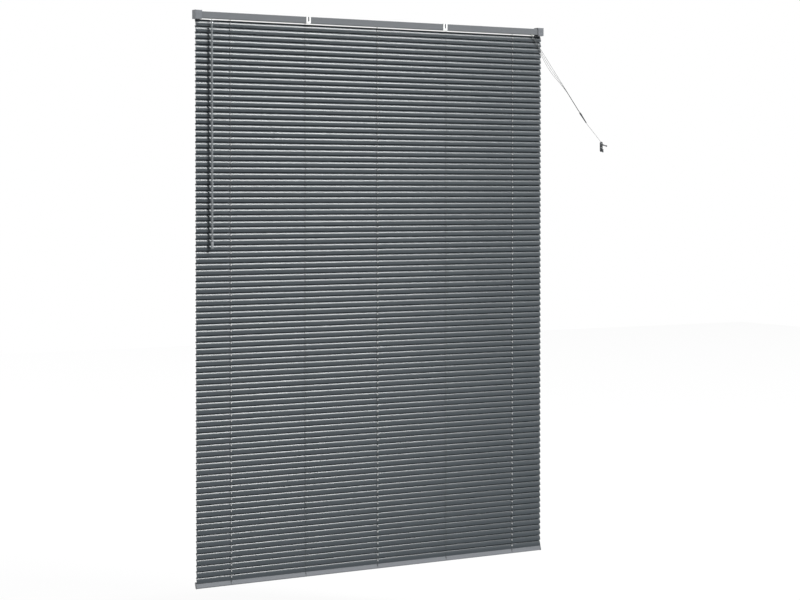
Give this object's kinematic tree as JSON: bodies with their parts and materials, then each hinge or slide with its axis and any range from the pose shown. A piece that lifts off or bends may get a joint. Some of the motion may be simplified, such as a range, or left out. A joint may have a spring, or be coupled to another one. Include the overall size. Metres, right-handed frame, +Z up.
{
  "type": "venetian blind",
  "caption": "Aluminium venetian blind with closed grey slats, headrail in box brackets, tilt wand, lift cords gathered to a wall cleat and a bottom rail.",
  "frame": {"origin": "middle of the four wall screw holes of the box brackets, on the wall plane", "axes": "+X along the width to the right seen from the room, +Y into the wall, +Z up"},
  "size_m": [1.929, 0.042, 2.2],
  "materials": {
    "grey_paint": "satin",
    "white_paint": "satin",
    "inner_plastic": "matte",
    "brass": "satin",
    "steel": "satin",
    "slat_metal": "satin metallic",
    "rail_metal": "satin metallic",
    "cord": "braided",
    "dark_plastic": "matte",
    "wand_plastic": "gloss"
  },
  "bodies": {
    "frame": {"headrail": "grey_paint", "headrail_end_cap_left": "grey_paint", "headrail_end_cap_right": "grey_paint", "box_bracket_left": "grey_paint", "box_bracket_right": "grey_paint", "centre_support_left": "white_paint", "centre_support_right": "white_paint", "tilter_housing": "inner_plastic", "tilter_lid": "inner_plastic", "drum_cradle_1": "inner_plastic", "drum_cradle_2": "inner_plastic", "drum_cradle_3": "inner_plastic", "drum_cradle_4": "inner_plastic", "drum_cradle_5": "inner_plastic", "cord_lock_housing": "inner_plastic", "cord_lock_pin": "steel", "slats": "slat_metal", "lift_cord_1": "cord", "lift_cord_2": "cord", "lift_cord_3": "cord", "pull_cord_1": "cord", "pull_cord_2": "cord", "pull_cord_3": "cord", "cord_connector": "dark_plastic", "tail_cord": "cord", "cord_cleat": "dark_plastic"},
    "rail": {"bottom_rail": "rail_metal", "rail_end_cap_left": "dark_plastic", "rail_end_cap_right": "dark_plastic", "rail_plug_1": "dark_plastic", "rail_plug_2": "dark_plastic", "rail_plug_3": "dark_plastic", "rail_plug_4": "dark_plastic", "rail_plug_5": "dark_plastic"},
    "tilt_shaft": {"tilt_rod": "steel", "tilter_gear": "brass", "ladder_drum_1": "inner_plastic", "ladder_drum_2": "inner_plastic", "ladder_drum_3": "inner_plastic", "ladder_drum_4": "inner_plastic", "ladder_drum_5": "inner_plastic"},
    "worm": {"tilter_worm": "steel"},
    "link": {"wand_hook": "steel"},
    "wand": {"wand": "wand_plastic", "wand_tip": "wand_plastic"},
    "door_left": {"bracket_door_left": "grey_paint"},
    "door_right": {"bracket_door_right": "grey_paint"},
    "roller": {"cord_lock_roller": "brass"}
  },
  "joints": [
    {"name": "lift", "type": "slide", "parent": "frame", "child": "rail", "axis": [0, 0, 1], "range_m": [0, 2.03], "deforming": ["slats", "lift_cord_1", "lift_cord_2", "lift_cord_3"]},
    {"name": "wand_twist", "type": "hinge", "parent": "frame", "child": "link", "pos_m": [-0.732, -0.03023, -0.01876], "axis": [0, 0, -1], "range_deg": [-2520, 0]},
    {"name": "wand_swing", "type": "hinge", "parent": "link", "child": "wand", "pos_m": [-0.732, -0.03023, -0.02776], "axis": [-1, 0, 0], "range_deg": [0, 60]},
    {"name": "worm_turn", "type": "hinge", "parent": "frame", "child": "worm", "pos_m": [-0.732, -0.01031, -0.00726], "axis": [0, -0.866, -0.5], "range_deg": [-2520, 0]},
    {"name": "tilt", "type": "hinge", "parent": "frame", "child": "tilt_shaft", "pos_m": [-0.732, -0.0145, 0], "axis": [-1, 0, 0], "range_deg": [0, 140]},
    {"name": "door_left_hinge", "type": "hinge", "parent": "frame", "child": "door_left", "pos_m": [-0.786, -0.0278, 0.0143], "axis": [-1, 0, 0], "range_deg": [0, 100]},
    {"name": "door_right_hinge", "type": "hinge", "parent": "frame", "child": "door_right", "pos_m": [0.786, -0.0278, 0.0143], "axis": [-1, 0, 0], "range_deg": [0, 100]},
    {"name": "cord_lock_slide", "type": "slide", "parent": "frame", "child": "roller", "axis": [0.5, 0, 0.866], "range_m": [0, 0.003]}
  ],
  "couplings": [
    {"joint": "worm_turn", "follows": "wand_twist", "ratio": 1},
    {"joint": "tilt", "follows": "wand_twist", "ratio": -0.055556}
  ]
}
